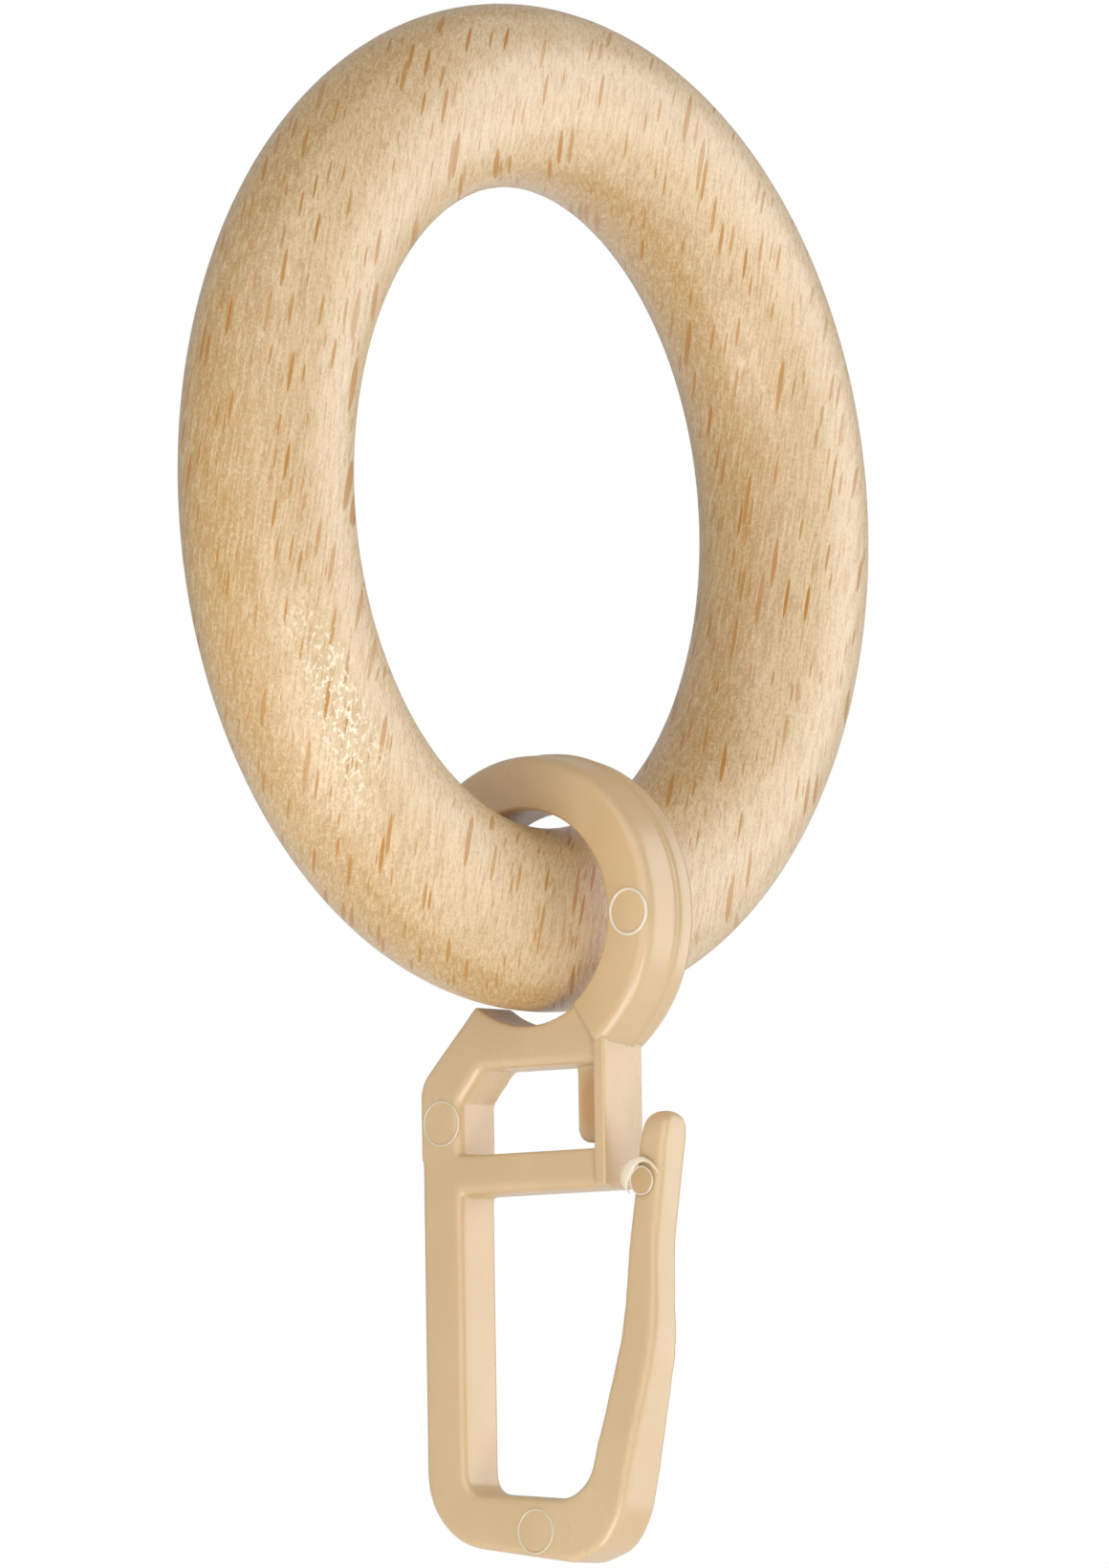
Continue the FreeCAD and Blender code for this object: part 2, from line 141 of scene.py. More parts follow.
def cut_level(bm, v):
    """Cuts a sheet at a height, so that its thickness can change there."""
    bmesh.ops.bisect_plane(
        bm, geom=bm.verts[:] + bm.edges[:] + bm.faces[:], dist=1e-6,
        plane_co=to_scene(0, 0, v), plane_no=(0, 0, 1),
    )


def ease_edges(bm, edges, radius, steps=4):
    bmesh.ops.bevel(
        bm, geom=edges, offset=radius * MM, offset_type="OFFSET", segments=steps,
        profile=0.5, affect="EDGES", material=-1, clamp_overlap=False,
    )


def apply_modifiers(piece):
    """Replaces a piece's mesh with what its modifiers make of it."""
    graph = bpy.context.evaluated_depsgraph_get()
    mesh = bpy.data.meshes.new_from_object(piece.evaluated_get(graph))
    piece.modifiers.clear()
    old = piece.data
    piece.data = mesh
    mesh.name = piece.name
    bpy.data.meshes.remove(old)


def melt(piece, cell, passes):
    """Turns a piece's overlapping shells into one skin with eased edges."""
    skin = piece.modifiers.new("one skin", "REMESH")
    skin.mode = "VOXEL"
    skin.voxel_size = cell * MM
    skin.use_smooth_shade = True
    ease = piece.modifiers.new("eased edges", "SMOOTH")
    ease.factor = 0.5
    ease.iterations = passes
    apply_modifiers(piece)


# Ring
def build_ring():
    bm = bmesh.new()
    made = bmesh.ops.create_circle(bm, segments=72, radius=MM)
    bmesh.ops.scale(bm, verts=made["verts"], vec=(RING_HALF_HEIGHT, RING_HALF_WIDTH, 1))
    bmesh.ops.translate(bm, verts=made["verts"], vec=(RING_RADIUS * MM, 0, 0))
    bmesh.ops.spin(
        bm, geom=bm.verts[:] + bm.edges[:], cent=(0, 0, 0), axis=(0, 1, 0),
        angle=math.tau, steps=288, use_merge=True,
    )
    bmesh.ops.remove_doubles(bm, verts=bm.verts[:], dist=1e-7)
    return make_piece(bm, "beech_ring")


# Frame of the hook

# Corners (y, v, radius) of the post, foot and sprung arm, as one outline.
LOOP_CORNERS = [
    (POST_OUTER, -10.0, 0), (POST_OUTER, -26.85, 3.3), (-2.5, -28.04, 1.2), (-4.25, -27.45, 1.6),
    (-5.12, -26.1, 2.4), (-6.92, -18.6, 7.0), (-6.94, -14.5, 9.0), (-7.8, -8.62, 0.56),
    (-6.38, -8.62, 0.56), (-5.4, -14.4, 8.0), (-5.0, -18.3, 7.0), (-3.2, -25.35, 1.9),
    (POST_INNER, -24.8, 0.9), (POST_INNER, -10.0, 0),
]

# Corners (y, v, radius) of the shoulder and rail, without the saddle's arc under the ring.
RAIL_CORNERS = [
    around_eye(SADDLE_RADIUS, 232) + (0,), (POST_OUTER, -6.98, 1.5), (POST_OUTER, RAIL_LEG_END, 0),
    (POST_INNER, RAIL_LEG_END, 0), (POST_INNER, -7.85, 0.3), (POST_INNER - 1.2, RAIL_UNDER, 0.3),
    (RAIL_END, RAIL_UNDER, 0), (RAIL_END, -5.3, 0), around_eye(EYE_HOLE + 1.2, 314) + (0,),
]

# Heights at which the arm can thin; they stand closer in its rounded tip.
ARM_LEVELS = list(range(-24, -9)) + [-9.7, -9.4, -9.15, -8.95, -8.8, -8.7]


def arm_thinness(v):
    """Share of the frame's thickness that the sprung arm keeps at a height."""
    if v < ARM_ROOT:
        return 1.0
    if v < ARM_WAIST:
        return 1.0 - (1.0 - WAIST_SHARE) * (v - ARM_ROOT) / (ARM_WAIST - ARM_ROOT)
    share = WAIST_SHARE + 0.06 * (v - ARM_WAIST) / 8.0
    if v > ARM_ROUNDING:
        share *= math.sqrt(1 - ((v - ARM_ROUNDING) / 1.13) ** 2)
    return share


def loop_shell():
    """Post, foot and arm; the arm thins from the foot up."""
    bm = bmesh.new()
    rounded_sheet(bm, LOOP_CORNERS, FRAME_FRONT)
    for level in ARM_LEVELS:
        cut_level(bm, level)
    thicken(bm, FRAME_BACK - FRAME_FRONT)
    middle = (FRAME_FRONT + FRAME_BACK) / 2 * MM
    for vert in bm.verts:
        if vert.co.y < ARM_SIDE * MM:
            vert.co.x = middle + (vert.co.x - middle) * arm_thinness(vert.co.z / MM - EYE_CENTRE)
    return bm


def rail_shell():
    """Shoulder and rail, their lower front edges well rounded."""
    bm = bmesh.new()
    saddle = [around_eye(SADDLE_RADIUS, angle) + (0,) for angle in range(312, 232, -4)]
    rounded_sheet(bm, RAIL_CORNERS + saddle, FRAME_FRONT)
    thicken(bm, FRAME_BACK - FRAME_FRONT)
    lower = []
    for edge in bm.edges:
        ends = [vert.co / MM for vert in edge.verts]
        front = all(abs(end.x - FRAME_FRONT) < NEAR for end in ends)
        inside = all(end.y < POST_INNER + NEAR for end in ends)
        under = all(RAIL_LEG_END - 0.1 < end.z - EYE_CENTRE < RAIL_UNDER + NEAR for end in ends)
        if front and inside and under and max(end.y for end in ends) > RAIL_END + NEAR:
            lower.append(edge)
    ease_edges(bm, lower, 0.45, steps=5)
    return bm


def block_shell(low, high):
    """A plain block between two corners (x, y, v)."""
    bm = bmesh.new()
    bmesh.ops.create_cube(bm, size=1)
    a, b = to_scene(*low), to_scene(*high)
    bmesh.ops.scale(bm, verts=bm.verts[:], vec=b - a)
    bmesh.ops.translate(bm, verts=bm.verts[:], vec=(a + b) / 2)
    return bm


def crossbar_shell():
    """The crossbar, its lower front edge eased."""
    bm = block_shell(
        (FRAME_FRONT, STRAP_OUTER + 0.02, CROSSBAR_UNDER),
        (FRAME_BACK, POST_INNER + 0.5, CROSSBAR_TOP),
    )
    level = to_scene(0, 0, CROSSBAR_UNDER + 0.1).z
    lower = [
        edge for edge in bm.edges
        if all(vert.co.z < level and vert.co.x < 0 for vert in edge.verts)
    ]
    ease_edges(bm, lower, 0.5)
    return bm


def strap_shell():
    """The strap, which stands a little in front of the frame."""
    return block_shell(
        (FRAME_FRONT - 0.2, STRAP_OUTER, CROSSBAR_UNDER + 0.1),
        (FRAME_BACK, STRAP_INNER, -4.7),
    )


def lug_shell():
    """The stop lug beside the strap, its lower free corner rounded."""
    bm = block_shell(
        (FRAME_FRONT + 0.9, STRAP_INNER + 0.15, -9.85),
        (FRAME_BACK, STRAP_INNER + 1.75, -6.2),
    )
    along_x = [
        edge for edge in bm.edges
        if abs((edge.verts[0].co - edge.verts[1].co).normalized().x) > 0.9
    ]
    corner = min(along_x, key=lambda edge: edge.verts[0].co.z - edge.verts[0].co.y)
    ease_edges(bm, [corner], 0.6)
    return bm


def join_shells(shells):
    """Puts several closed shells into one bmesh."""
    whole = bmesh.new()
    for bm in shells:
        bmesh.ops.recalc_face_normals(bm, faces=bm.faces[:])
        mesh = bpy.data.meshes.new("shell")
        bm.to_mesh(mesh)
        bm.free()
        whole.from_mesh(mesh)
        bpy.data.meshes.remove(mesh)
    return whole


def build_frame():
    """The moulded frame, its bars melted together and their edges and corners eased."""
    loop = make_piece(loop_shell(), "loop")
    melt(loop, cell=0.09, passes=48)
    rounded_loop = bmesh.new()
    rounded_loop.from_mesh(loop.data)
    bpy.data.meshes.remove(loop.data)
    shells = [rounded_loop, rail_shell(), crossbar_shell(), strap_shell(), lug_shell()]
    piece = make_piece(join_shells(shells), "hook_frame")
    melt(piece, cell=0.075, passes=18)
    return piece


# Eye of the hook
def round_free_end(bm):
    """Draws the last of the eye's band in towards its middle, so that it leads in over the ring."""
    middle = (EYE_HOLE + EYE_OUTER) / 2
    half = (EYE_OUTER - EYE_HOLE) / 2
    for vert in bm.verts:
        y, v = vert.co.y / MM - EYE_ACROSS, vert.co.z / MM - EYE_CENTRE
        radius = math.hypot(y, v)
        left = math.radians(EYE_TIP - math.degrees(math.atan2(v, -y)) % 360) * middle
        if not -1e-4 < left < EYE_LEAD_IN:
            continue
        bow = math.sqrt(max(0.0, 1 - (1 - left / EYE_LEAD_IN) ** 2))
        share = (half - EYE_LEAD_IN + EYE_LEAD_IN * bow) / half
        shift = (middle + (radius - middle) * share) / radius
        vert.co.y = (EYE_ACROSS + y * shift) * MM
        vert.co.z = (EYE_CENTRE + v * shift) * MM


def build_eye():
    """The clip eye, a band swept from its root on the rail round to its free end."""
    bm = bmesh.new()
    draft = math.tan(math.radians(DRAFT_DEGREES))
    top = EYE_OUTER + draft * (PARTING - EYE_FRONT)
    back = top - draft * (EYE_BACK - PARTING)
    # (x, radius): the rounded front edge, the double ridge at the parting, the back edge
    section = [
        (EYE_FRONT + 0.16, EYE_HOLE), (EYE_FRONT + 0.05, EYE_HOLE + 0.05), (EYE_FRONT, EYE_HOLE + 0.17),
        (EYE_FRONT, EYE_OUTER - 0.52), (EYE_FRONT + 0.02, EYE_OUTER - 0.37),
        (EYE_FRONT + 0.08, EYE_OUTER - 0.23), (EYE_FRONT + 0.17, EYE_OUTER - 0.12),
        (EYE_FRONT + 0.29, EYE_OUTER - 0.03), (EYE_FRONT + 0.43, EYE_OUTER + 0.02),
        (EYE_FRONT + 0.58, EYE_OUTER + 0.04), (EYE_FRONT + 0.68, EYE_OUTER + 0.05),
        (PARTING - 0.44, top - 0.035), (PARTING - 0.34, top - 0.03), (PARTING - 0.28, top + 0.03),
        (PARTING - 0.22, top + 0.02), (PARTING - 0.16, top - 0.04), (PARTING - 0.04, top - 0.02),
        (PARTING + 0.02, top + 0.05), (PARTING + 0.08, top + 0.04), (PARTING + 0.13, top - 0.05),
        (PARTING + 0.21, top - 0.07),
        (EYE_BACK - 0.40, back + 0.02), (EYE_BACK - 0.30, back + 0.01), (EYE_BACK - 0.15, back - 0.04),
        (EYE_BACK - 0.05, back - 0.14), (EYE_BACK, back - 0.32), (EYE_BACK, EYE_HOLE + 0.17),
        (EYE_BACK - 0.05, EYE_HOLE + 0.05), (EYE_BACK - 0.16, EYE_HOLE),
    ]
    verts = [bm.verts.new(to_scene(x, *around_eye(radius, EYE_ROOT))) for x, radius in section]
    face = bm.faces.new(verts)
    swept = EYE_TIP - (EYE_ROOT - 360)
    bmesh.ops.spin(
        bm, geom=[face], cent=to_scene(0, EYE_ACROSS, 0), axis=(1, 0, 0),
        angle=-math.radians(swept), steps=124, use_duplicate=False,
    )
    round_free_end(bm)
    return make_piece(bm, "hook_eye")


# Marks of the mould
def pin_mark(name, x, y, v, radius, bead):
    """The thin raised line that an ejector pin leaves on a face that looks along -X."""
    bm = bmesh.new()
    made = bmesh.ops.create_circle(bm, segments=10, radius=bead * MM)
    bmesh.ops.translate(bm, verts=made["verts"], vec=(radius * MM, 0, 0))
    bmesh.ops.spin(
        bm, geom=bm.verts[:] + bm.edges[:], cent=(0, 0, 0), axis=(0, 1, 0),
        angle=math.tau, steps=72, use_merge=True,
    )
    bmesh.ops.remove_doubles(bm, verts=bm.verts[:], dist=1e-8)
    bmesh.ops.rotate(bm, verts=bm.verts[:], matrix=Matrix.Rotation(math.radians(90), 3, "Z"))
    bmesh.ops.translate(bm, verts=bm.verts[:], vec=to_scene(x, y, v))
    return make_piece(bm, name)


def pin_end(name, x, y, v, radius, depth):
    """The round end of an ejector pin, left standing on the arm; it reaches back from x by a depth."""
    bm = bmesh.new()
    bmesh.ops.create_cone(
        bm, cap_ends=True, segments=48, radius1=radius * MM, radius2=radius * MM, depth=depth * MM,
    )
    rims = [edge for edge in bm.edges if abs(edge.verts[0].co.z - edge.verts[1].co.z) < 1e-9]
    ease_edges(bm, rims, 0.06, steps=3)
    bmesh.ops.rotate(bm, verts=bm.verts[:], matrix=Matrix.Rotation(math.radians(90), 3, "Y"))
    bmesh.ops.translate(bm, verts=bm.verts[:], vec=to_scene(x + depth / 2, y, v))
    return make_piece(bm, name)


def flash_lip(name, x, y, v):
    """A curled lip of flash round the inner side of the arm's pin; broadest towards the strap."""
    first, broadest, last = 14, 155, 222
    half_thickness = 0.09
    bm = bmesh.new()
    made = bmesh.ops.create_circle(bm, segments=12, radius=1.0, cap_ends=True)
    # a round bar of 1 mm, swept 2 mm out, is drawn in afterwards to the lip's own width
    for vert in made["verts"]:
        across, up = vert.co.x, vert.co.y
        reach = 2.0 + across
        vert.co = to_scene(
            x + up * half_thickness,
            y - reach * math.cos(math.radians(first)),
            v + reach * math.sin(math.radians(first)),
        )
    bmesh.ops.spin(
        bm, geom=bm.faces[:], cent=to_scene(x, y, v), axis=(1, 0, 0),
        angle=-math.radians(last - first), steps=60, use_duplicate=False,
    )
    for vert in bm.verts:
        across, up = vert.co.y / MM - y, vert.co.z / MM - EYE_CENTRE - v
        reach = math.hypot(across, up)
        angle = first + (math.degrees(math.atan2(up, -across)) - first + 10) % 360 - 10
        broad = math.exp(-((angle - broadest) / (62 if angle < broadest else 38)) ** 2)
        taper = max(0.08, min(1.0, (angle - first) / 24, (last - angle) / 30))
        outer = 0.97 + 0.22 * broad - 0.16 * max(0.0, angle - 180) / 40
        width = (0.10 + 0.52 * broad) * taper
        shift = (outer - width * (3.0 - reach) / 2) / reach
        vert.co.x = (x + (vert.co.x / MM - x) * (0.3 + 0.7 * taper)) * MM
        vert.co.y = (y + across * shift) * MM
        vert.co.z = (EYE_CENTRE + v + up * shift) * MM
    return make_piece(bm, name)


# Materials

# Colours as everyday 0 to 255 values. A year's colours run from its start to its end.
YEAR_COLOURS = [
    (0.0, (207, 174, 124)), (0.06, (212, 181, 133)), (0.40, (207, 174, 124)),
    (0.80, (199, 164, 110)), (0.95, (195, 159, 104)), (1.0, (205, 172, 121)),
]
DARK_ZONE = (195, 157, 100)
PALE_ZONE = (219, 191, 147)
# the next two colours are partly the wood's own and partly painted light: painted shade towards the
# back, painted sheen towards the front
RICH_BACK_AND_SHADE = (188, 150, 86)
PALE_FRONT_AND_SHEEN = (236, 218, 188)
# painted shade on the outside of the left limb
LEFT_LIMB_PAINTED_SHADE = (182, 142, 80)
DARK_FIBRE = (176, 133, 76)
PALE_FIBRE = (233, 211, 172)
DARK_PORE = (168, 122, 66)
PALE_PORE = (238, 219, 184)
FLECK = (180, 120, 16)
# painted glints on the lacquer
PAINTED_GLINT = (250, 240, 216)
PLASTIC_DEEP = (205, 176, 133)
PLASTIC_PALE = (210, 182, 141)
PLASTIC_SPECK = (186, 152, 108)
# painted shade on the stop lug, warm as with light through its thinner plastic
PAINTED_LUG_SHADE = (182, 130, 60)
THIN_PLASTIC = (246, 236, 220)
PIN_END = (176, 128, 72)


def srgb(red, green, blue):
    """An everyday 0 to 255 colour as the linear colour that a shader takes."""
    def linear(value):
        value /= 255
        return value / 12.92 if value <= 0.04045 else ((value + 0.055) / 1.055) ** 2.4
    return (linear(red), linear(green), linear(blue))


class Nodes:
    """A short way to write a material's nodes."""

    def __init__(self, name):
        self.material = bpy.data.materials.new(name)
        self.material.use_nodes = True
        self.tree = self.material.node_tree
        self.tree.nodes.clear()
        self.output = self.add("ShaderNodeOutputMaterial")
        self.coordinates = None

    def add(self, kind, **settings):
        node = self.tree.nodes.new(kind)
        for key, value in settings.items():
            setattr(node, key, value)
        return node

    def link(self, source, target):
        self.tree.links.new(source, target)

    def place(self, size, turn=(0, 0, 0), shift=(0, 0, 0)):
        """Object coordinates, turned and counted in cells of a size in millimetres."""
        if self.coordinates is None:
            self.coordinates = self.add("ShaderNodeTexCoord").outputs["Object"]
        node = self.add("ShaderNodeMapping", vector_type="TEXTURE")
        node.inputs["Rotation"].default_value = turn
        node.inputs["Location"].default_value = [s * MM for s in shift]
        node.inputs["Scale"].default_value = [s * MM for s in size]
        self.link(self.coordinates, node.inputs["Vector"])
        return node.outputs["Vector"]

    def axes(self):
        """The object's X, Y and Z in millimetres."""
        node = self.add("ShaderNodeSeparateXYZ")
        self.link(self.place((1, 1, 1)), node.inputs["Vector"])
        return node.outputs

    def distance(self, size, turn=(0, 0, 0), shift=(0, 0, 0)):
        """Distance from a place in the object; 1 on the skin of an egg whose half axes are the size."""
        node = self.add("ShaderNodeVectorMath", operation="LENGTH")
        self.link(self.place(size, turn, shift), node.inputs[0])
        return node.outputs["Value"]

    def noise(self, vector, detail=2.0, rough=0.5, distortion=0.0):
        node = self.add("ShaderNodeTexNoise")
        node.inputs["Scale"].default_value = 1.0
        node.inputs["Detail"].default_value = detail
        node.inputs["Roughness"].default_value = rough
        node.inputs["Distortion"].default_value = distortion
        self.link(vector, node.inputs["Vector"])
        return node.outputs["Fac"]

    def ramp(self, factor, stops, interpolation="LINEAR"):
        node = self.add("ShaderNodeValToRGB")
        node.color_ramp.interpolation = interpolation
        while len(node.color_ramp.elements) < len(stops):
            node.color_ramp.elements.new(0.5)
        for element, (position, colour) in zip(node.color_ramp.elements, stops):
            element.position = position
            element.color = (*colour, 1) if isinstance(colour, tuple) else (colour, colour, colour, 1)
        self.link(factor, node.inputs["Fac"])
        return node.outputs["Color"]

    def math(self, operation, *values):
        node = self.add("ShaderNodeMath", operation=operation)
        for socket, value in zip(node.inputs, values):
            if isinstance(value, (int, float)):
                socket.default_value = value
            else:
                self.link(value, socket)
        return node.outputs["Value"]

    def mix(self, factor, first, second):
        node = self.add("ShaderNodeMix", data_type="RGBA")
        for index, value in ((0, factor), (6, first), (7, second)):
            if isinstance(value, (int, float)):
                node.inputs[index].default_value = value
            elif isinstance(value, tuple):
                node.inputs[index].default_value = (*value, 1)
            else:
                self.link(value, node.inputs[index])
        return node.outputs[2]

    def tint(self, colour, factor, stops, other):
        """A colour with as much of another in it as a ramp over a factor says."""
        return self.mix(self.ramp(factor, stops), colour, srgb(*other))

    def bump(self, height, strength, distance, normal=None):
        node = self.add("ShaderNodeBump")
        node.inputs["Strength"].default_value = strength
        node.inputs["Distance"].default_value = distance * MM
        self.link(height, node.inputs["Height"])
        if normal is not None:
            self.link(normal, node.inputs["Normal"])
        return node.outputs["Normal"]

    def finish(self, shader):
        """Makes a shader the material's surface."""
        self.link(shader, self.output.inputs["Surface"])
        return self.material


def grain_turn():
    """Turn of the board that the ring is cut from: Z along the fibres, Y along the wood's rays."""
    along = Vector((0.06, -0.16, 1)).normalized()
    ray = Vector((-0.80, -0.60, 0))
    ray = (ray - along * ray.dot(along)).normalized()
    across = ray.cross(along)
    return Matrix((across, ray, along)).transposed().to_euler()


GRAIN = grain_turn()


def fleck_layer(n, size, reach, seed, keep):
    """Lens-shaped ray flecks lying along the grain; up to 1 inside a fleck, 0 outside."""
    where = n.place(size, turn=GRAIN, shift=(seed, seed * 1.7, seed * 0.6))
    cells = n.add("ShaderNodeTexVoronoi", feature="F1")
    cells.inputs["Scale"].default_value = 1.0
    n.link(where, cells.inputs["Vector"])
    chance = n.add("ShaderNodeSeparateColor")
    n.link(cells.outputs["Color"], chance.inputs["Color"])
    half = n.math("MULTIPLY", chance.outputs["Green"], reach * 0.5)
    half = n.math("ADD", half, reach * 0.5)
    edge = n.math("DIVIDE", cells.outputs["Distance"], half)
    mask = n.ramp(edge, [(0.78, 1.0), (1.0, 0.0)], "EASE")
    there = n.math("LESS_THAN", chance.outputs["Red"], keep)
    depth = n.math("ADD", n.math("MULTIPLY", chance.outputs["Blue"], 0.4), 0.6)
    return n.math("MULTIPLY", n.math("MULTIPLY", mask, there), depth)


def year_band(n):
    """Rises to 1 at a year's boundary and starts again at 0; the years lie flat in the ring."""
    wander = n.noise(n.place((12, 8, 26), shift=(3, 0, 5)))
    ragged = n.noise(n.place((0.3, 0.3, 2.2), turn=GRAIN), detail=3.0, rough=0.6)
    depth = n.math("MULTIPLY", n.math("SUBTRACT", wander, 0.5), 4.5)
    depth = n.math("ADD", n.axes()["Y"], depth)
    depth = n.math("ADD", depth, n.math("MULTIPLY", n.math("SUBTRACT", ragged, 0.5), 1.6))
    depth = n.math("DIVIDE", n.math("ADD", depth, 2.2), -6.2)
    return n.math("FRACT", depth)


def beech():
    n = Nodes("lacquered beech")
    colour = n.ramp(year_band(n), [(share, srgb(*tone)) for share, tone in YEAR_COLOURS])
    zones = n.noise(n.place((5, 5, 16), turn=GRAIN), detail=3.0, rough=0.6, distortion=0.4)
    colour = n.tint(colour, zones, [(0.38, 0.35), (0.55, 0.0)], DARK_ZONE)
    colour = n.tint(colour, zones, [(0.55, 0.0), (0.70, 0.25)], PALE_ZONE)
    # the front is paler and the back richer: partly the wood's own colour, partly a painted sheen
    # towards the front and painted shade towards the back
    axes = n.axes()
    front = n.math("ADD", n.math("MULTIPLY", axes["Y"], -0.25), n.math("MULTIPLY", zones, 0.4))
    colour = n.tint(colour, front, [(0.30, 0.34), (0.75, 0.0)], RICH_BACK_AND_SHADE)
    colour = n.tint(colour, front, [(0.55, 0.0), (0.95, 0.24)], PALE_FRONT_AND_SHEEN)
    # painted shade: the outside of the left limb is painted darker and richer
    outside = n.math("ADD", n.math("MULTIPLY", axes["X"], -0.125), -2.1)
    colour = n.tint(colour, outside, [(0.1, 0.0), (0.6, 0.35)], LEFT_LIMB_PAINTED_SHADE)
    # fine fibres and open pores, each dark and pale
    fibres = n.noise(n.place((0.11, 0.4, 1.6), turn=GRAIN), detail=4.0, rough=0.65)
    colour = n.tint(colour, fibres, [(0.36, 0.48), (0.50, 0.0)], DARK_FIBRE)
    colour = n.tint(colour, fibres, [(0.50, 0.0), (0.64, 0.40)], PALE_FIBRE)
    pores = n.noise(n.place((0.10, 0.10, 0.16), turn=GRAIN, shift=(3, 1, 7)), detail=3.0, rough=0.7)
    colour = n.tint(colour, pores, [(0.36, 0.32), (0.47, 0.0)], DARK_PORE)
    colour = n.tint(colour, pores, [(0.53, 0.0), (0.64, 0.32)], PALE_PORE)
    # flecks of three sizes
    large = fleck_layer(n, (0.42, 5.0, 4.7), reach=0.32, seed=2.3, keep=0.6)
    middle = fleck_layer(n, (0.32, 3.8, 3.6), reach=0.32, seed=5.1, keep=0.5)
    small = fleck_layer(n, (0.22, 2.4, 2.0), reach=0.30, seed=9.7, keep=0.4)
    flecks = n.math("MAXIMUM", n.math("MAXIMUM", large, middle), n.math("MULTIPLY", small, 0.75))
    colour = n.mix(flecks, colour, srgb(*FLECK))
    # painted glints: small pale specks painted into the colour where the pebbly lacquer catches the
    # light, low on the left
    glint_patch = n.distance((1.7, 3.0, 6.5), turn=(0, -0.5, 0), shift=(-17.0, -2.2, -9.6))
    painted_glints = n.noise(
        n.place((0.24, 0.24, 0.34), shift=(1, 4, 2)), detail=3.0, rough=0.65, distortion=0.5,
    )
    painted_glints = n.ramp(painted_glints, [(0.53, 0.0), (0.60, 0.85)])
    painted_glints = n.math("MULTIPLY", painted_glints, n.ramp(glint_patch, [(0.45, 1.0), (1.0, 0.0)]))
    colour = n.mix(painted_glints, colour, srgb(*PAINTED_GLINT))

    shader = n.add("ShaderNodeBsdfPrincipled")
    n.link(colour, shader.inputs["Base Color"])
    n.link(n.ramp(pores, [(0.3, 0.60), (0.7, 0.48)]), shader.inputs["Roughness"])
    shader.inputs["IOR"].default_value = 1.4
    shader.inputs["Coat Weight"].default_value = 0.9
    shader.inputs["Coat Roughness"].default_value = 0.27
    shader.inputs["Coat IOR"].default_value = 1.6
    grain = n.bump(fibres, 0.35, 0.02)
    grain = n.bump(flecks, 0.4, -0.02, grain)
    n.link(grain, shader.inputs["Normal"])
    # the lacquer lies pebbly, most of all low on the left
    lowness = n.math("MULTIPLY", axes["X"], -0.03)
    lowness = n.math("ADD", lowness, n.math("MULTIPLY", axes["Z"], -0.05))
    lowness = n.ramp(lowness, [(0.25, 0.3), (0.85, 1.0)])
    pebbles = n.noise(n.place((0.22, 0.22, 0.26)), detail=3.0, rough=0.6, distortion=0.6)
    pebbles = n.math("MULTIPLY", pebbles, lowness)
    n.link(n.bump(pebbles, 0.8, 0.09), shader.inputs["Coat Normal"])
    return n.finish(shader.outputs["BSDF"])


def beige_plastic(name, other=None, share=0.0):
    """The hook's plastic, or the same with a share of another colour in it."""
    n = Nodes(name)
    tone = n.noise(n.place((4, 4, 6)))
    colour = n.ramp(tone, [(0.35, srgb(*PLASTIC_DEEP)), (0.65, srgb(*PLASTIC_PALE))])
    specks = n.noise(n.place((0.16, 0.16, 0.16)), rough=0.6)
    colour = n.tint(colour, specks, [(0.32, 0.10), (0.45, 0.0)], PLASTIC_SPECK)
    # painted shade and painted warm light: the stop lug, shaded by the rail and the strap and thinner
    # than the frame, is painted darker and amber
    lug = n.distance((1.5, 1.15, 2.3), shift=(0.6, -3.25, EYE_CENTRE - 8.1))
    colour = n.tint(colour, lug, [(0.75, 0.65), (1.0, 0.0)], PAINTED_LUG_SHADE)
    if other:
        colour = n.mix(share, colour, srgb(*other))
    shader = n.add("ShaderNodeBsdfPrincipled")
    n.link(colour, shader.inputs["Base Color"])
    n.link(n.ramp(tone, [(0.3, 0.32), (0.7, 0.26)]), shader.inputs["Roughness"])
    shader.inputs["IOR"].default_value = 1.75
    shader.inputs["Subsurface Weight"].default_value = 0.25
    shader.inputs["Subsurface Radius"].default_value = (1.0, 0.55, 0.3)
    shader.inputs["Subsurface Scale"].default_value = 0.8 * MM
    skin = n.noise(n.place((0.45, 0.45, 0.6)), detail=3.0, rough=0.55)
    n.link(n.bump(skin, 0.12, 0.02), shader.inputs["Normal"])
    return n.finish(shader.outputs["BSDF"])


def white_floor():
    """Matt white that a camera or a glossy face sees brighter than the light makes it."""
    n = Nodes("white floor")
    matt = n.add("ShaderNodeBsdfDiffuse")
    matt.inputs["Color"].default_value = (0.85, 0.85, 0.85, 1)
    glow = n.add("ShaderNodeEmission")
    glow.inputs["Color"].default_value = (1, 1, 1, 1)
    rays = n.add("ShaderNodeLightPath")
    seen = n.math("MAXIMUM", rays.outputs["Is Camera Ray"], rays.outputs["Is Glossy Ray"])
    pick = n.add("ShaderNodeMixShader")
    n.link(n.math("MULTIPLY", seen, 0.6), pick.inputs["Fac"])
    n.link(matt.outputs["BSDF"], pick.inputs[1])
    n.link(glow.outputs["Emission"], pick.inputs[2])
    return n.finish(pick.outputs["Shader"])


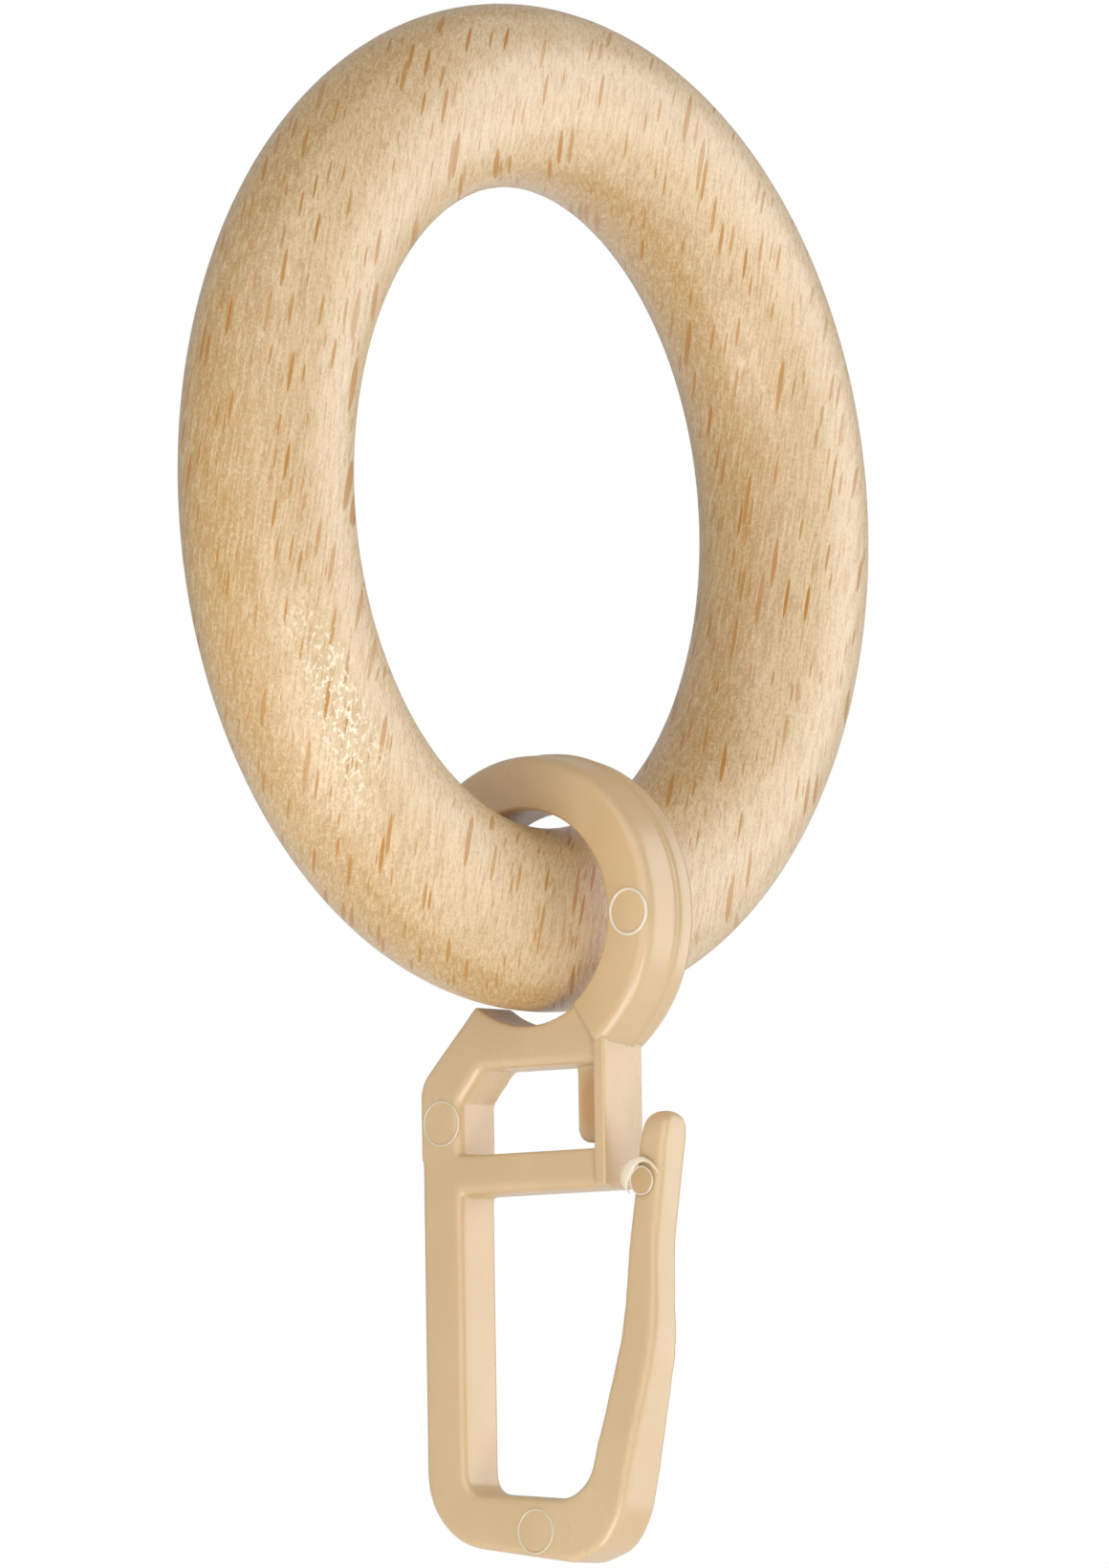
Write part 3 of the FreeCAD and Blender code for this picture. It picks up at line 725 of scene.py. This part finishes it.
# The object
ring = build_ring()
hook_frame = build_frame()
eye = build_eye()
arm_front = ARM_TIP_FRONT - PIN_STANDS
clear_marks = [
    pin_mark("hook_mark_eye", EYE_FRONT, *around_eye(5.92, -0.5), radius=0.98, bead=0.072),
    pin_mark("hook_mark_arm", arm_front, *ARM_PIN, radius=0.6, bead=0.035),
    flash_lip("hook_flash_arm", ARM_TIP_FRONT - 0.16, *ARM_PIN),
]
faint_marks = [
    pin_mark("hook_mark_post", FRAME_FRONT, 4.42, -8.7, radius=0.96, bead=0.045),
    pin_mark("hook_mark_foot", FRAME_FRONT, -0.5, -26.6, radius=0.95, bead=0.045),
]
arm_pin = pin_end("hook_pin_arm", arm_front, *ARM_PIN, radius=0.6, depth=0.6)

ring.data.materials.append(beech())
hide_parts("wooden_ring")
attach(ring, "wooden_ring")

plain_plastic = beige_plastic("beige moulded plastic")
thin_plastic = beige_plastic("thin flash of the moulding", THIN_PLASTIC, 0.55)
faint_plastic = beige_plastic("faint line of a pin mark", THIN_PLASTIC, 0.35)
pin_plastic = beige_plastic("darker end of a pin", PIN_END, 0.3)
finishes = [(hook_frame, plain_plastic), (eye, plain_plastic), (arm_pin, pin_plastic)]
finishes += [(mark, thin_plastic) for mark in clear_marks]
finishes += [(mark, faint_plastic) for mark in faint_marks]
for piece, finish in finishes:
    piece.data.materials.clear()
    piece.data.materials.append(finish)
    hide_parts("hook")
    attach(piece, "hook")


# Floor, light and camera
PICTURE_HEIGHT = 1640.0
FOCAL_LENGTH = 16821.0
SENSOR_HEIGHT = 24.0
WORLD_LIGHT = 0.43


def build_floor():
    bm = bmesh.new()
    bmesh.ops.create_circle(bm, cap_ends=True, segments=96, radius=3.0)
    bmesh.ops.translate(bm, verts=bm.verts[:], vec=(0, 0, -0.30))
    floor = make_piece(bm, "studio_floor")
    floor.data.materials.append(white_floor())


def lamp(name, place, aim, size, power, along=(0, 0, 1)):
    """A soft rectangular lamp; its width lies as near as it can to a direction."""
    data = bpy.data.lights.new(name, "AREA")
    data.shape = "RECTANGLE"
    data.size, data.size_y = size
    data.energy = power
    back = (Vector(place) - Vector(aim)).normalized()
    width = Vector(along)
    width = (width - back * width.dot(back)).normalized()
    thing = bpy.data.objects.new(name, data)
    turn = Matrix((width, back.cross(width), back)).transposed()
    thing.matrix_world = Matrix.Translation(place) @ turn.to_4x4()
    bpy.context.scene.collection.objects.link(thing)


def set_world():
    """A soft white light all round, which the camera sees as plain white."""
    world = bpy.data.worlds.new("white studio")
    bpy.context.scene.world = world
    world.use_nodes = True
    tree = world.node_tree
    tree.nodes.clear()
    output = tree.nodes.new("ShaderNodeOutputWorld")
    rays = tree.nodes.new("ShaderNodeLightPath")
    seen = tree.nodes.new("ShaderNodeMath")
    seen.operation = "MAXIMUM"
    tree.links.new(rays.outputs["Is Camera Ray"], seen.inputs[0])
    tree.links.new(rays.outputs["Is Transmission Ray"], seen.inputs[1])
    pick = tree.nodes.new("ShaderNodeMixShader")
    tree.links.new(seen.outputs[0], pick.inputs["Fac"])
    for socket, strength in ((1, WORLD_LIGHT), (2, 1.0)):
        sky = tree.nodes.new("ShaderNodeBackground")
        sky.inputs["Color"].default_value = (1, 1, 1, 1)
        sky.inputs["Strength"].default_value = strength
        tree.links.new(sky.outputs[0], pick.inputs[socket])
    tree.links.new(pick.outputs[0], output.inputs["Surface"])


def set_camera():
    """Looks at the ring a little from the left and below, as the photograph does."""
    data = bpy.data.cameras.new("camera")
    data.sensor_fit = "VERTICAL"
    data.sensor_height = SENSOR_HEIGHT
    data.lens = FOCAL_LENGTH / PICTURE_HEIGHT * SENSOR_HEIGHT
    data.clip_start = 0.05
    data.clip_end = 20.0
    thing = bpy.data.objects.new("camera", data)
    place = (-0.5441, -0.4359, -0.0672)
    azimuth, elevation, roll = (math.radians(a) for a in (-51.373, -4.52, -0.86))
    level = math.cos(elevation)
    back = Vector((math.sin(azimuth) * level, -math.cos(azimuth) * level, math.sin(elevation)))
    right = Vector((0, 0, 1)).cross(back).normalized()
    up = back.cross(right)
    turned = Matrix.Rotation(roll, 3, back)
    right, up = turned @ right, turned @ up
    thing.matrix_world = Matrix.Translation(place) @ Matrix((right, up, back)).transposed().to_4x4()
    bpy.context.scene.collection.objects.link(thing)
    bpy.context.scene.camera = thing


build_floor()
set_world()
lamp("key from the right", (0.6, -0.5, 0.11), (0, 0, -0.01), (0.85, 0.7), 3.5)
lamp("fill from the left", (-0.85, -0.36, 0.42), (0, 0, -0.01), (1.3, 1.3), 5.8)
lamp("low fill from the left", (-0.17, -0.07, -0.28), (0, 0, -0.02), (0.3, 0.2), 0.62)
lamp(
    "strip from below", (-0.14, -0.29, -0.27), (-0.017, -0.002, -0.012), (0.26, 0.03), 0.32,
    along=(0.447, 0.125, -0.349),
)
set_camera()

view = bpy.context.scene.view_settings
view.view_transform = "Standard"
